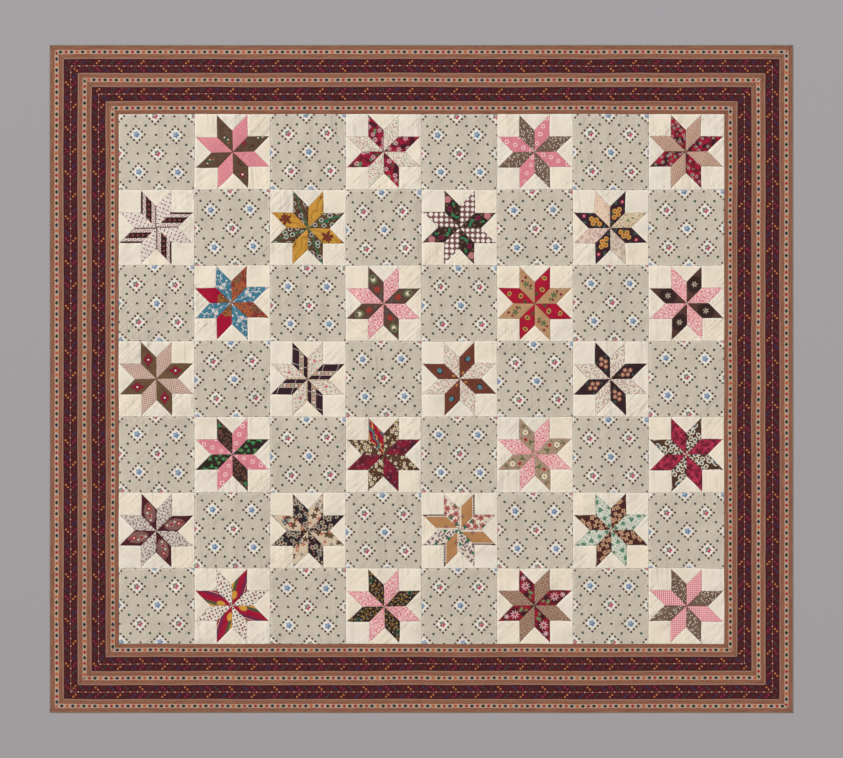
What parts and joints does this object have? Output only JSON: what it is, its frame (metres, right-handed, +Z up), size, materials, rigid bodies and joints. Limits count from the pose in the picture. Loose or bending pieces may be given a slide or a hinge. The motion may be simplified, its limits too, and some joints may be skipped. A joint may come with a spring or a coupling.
{
  "type": "hung pieced quilt",
  "caption": "Full-size pieced quilt of eight-pointed stars and printed squares in a striped mitred border, hung by a back sleeve on a round wooden pole.",
  "frame": {"origin": "on the hanging pole's axis at mid length, where the pole rests on its supports", "axes": "+X along the pole to the viewer's right, +Y away from the quilt's face towards the wall, +Z up"},
  "size_m": [2.496, 0.0398, 2.242],
  "materials": {
    "star_prints": "printed cotton calicoes, two prints to a star, matt",
    "muslin_and_print": "unbleached muslin patches and pale grey-beige printed squares, matt",
    "border_print": "cotton printed with tan and maroon stripes, rows of small diamonds, sprigs and dots, matt",
    "binding_tape": "narrow woven cotton tape, matt",
    "batting": "thin cotton batting",
    "backing_cloth": "unbleached muslin, matt",
    "sleeve_cloth": "unbleached muslin, matt",
    "pole_wood": "sanded hardwood dowel, satin"
  },
  "bodies": {
    "pole": {"pole": "pole_wood"},
    "quilt": {"star_r1c2": "star_prints", "star_r1c4": "star_prints", "star_r1c6": "star_prints", "star_r1c8": "star_prints", "star_r2c1": "star_prints", "star_r2c3": "star_prints", "star_r2c5": "star_prints", "star_r2c7": "star_prints", "star_r3c2": "star_prints", "star_r3c4": "star_prints", "star_r3c6": "star_prints", "star_r3c8": "star_prints", "star_r4c1": "star_prints", "star_r4c3": "star_prints", "star_r4c5": "star_prints", "star_r4c7": "star_prints", "star_r5c2": "star_prints", "star_r5c4": "star_prints", "star_r5c6": "star_prints", "star_r5c8": "star_prints", "star_r6c1": "star_prints", "star_r6c3": "star_prints", "star_r6c5": "star_prints", "star_r6c7": "star_prints", "star_r7c2": "star_prints", "star_r7c4": "star_prints", "star_r7c6": "star_prints", "star_r7c8": "star_prints", "row_1": "muslin_and_print", "row_2": "muslin_and_print", "row_3": "muslin_and_print", "row_4": "muslin_and_print", "row_5": "muslin_and_print", "row_6": "muslin_and_print", "row_7": "muslin_and_print", "border_top": "border_print", "border_right": "border_print", "border_bottom": "border_print", "border_left": "border_print", "binding_top": "binding_tape", "binding_right": "binding_tape", "binding_bottom": "binding_tape", "binding_left": "binding_tape", "batting": "batting", "backing_left": "backing_cloth", "backing_middle": "backing_cloth", "backing_right": "backing_cloth", "sleeve": "sleeve_cloth"}
  },
  "joints": [
    {"name": "quilt_swing", "type": "hinge", "parent": "pole", "child": "quilt", "pos_m": [0, 0, 0], "axis": [-1, 0, 0], "range_deg": [0, 90]}
  ]
}
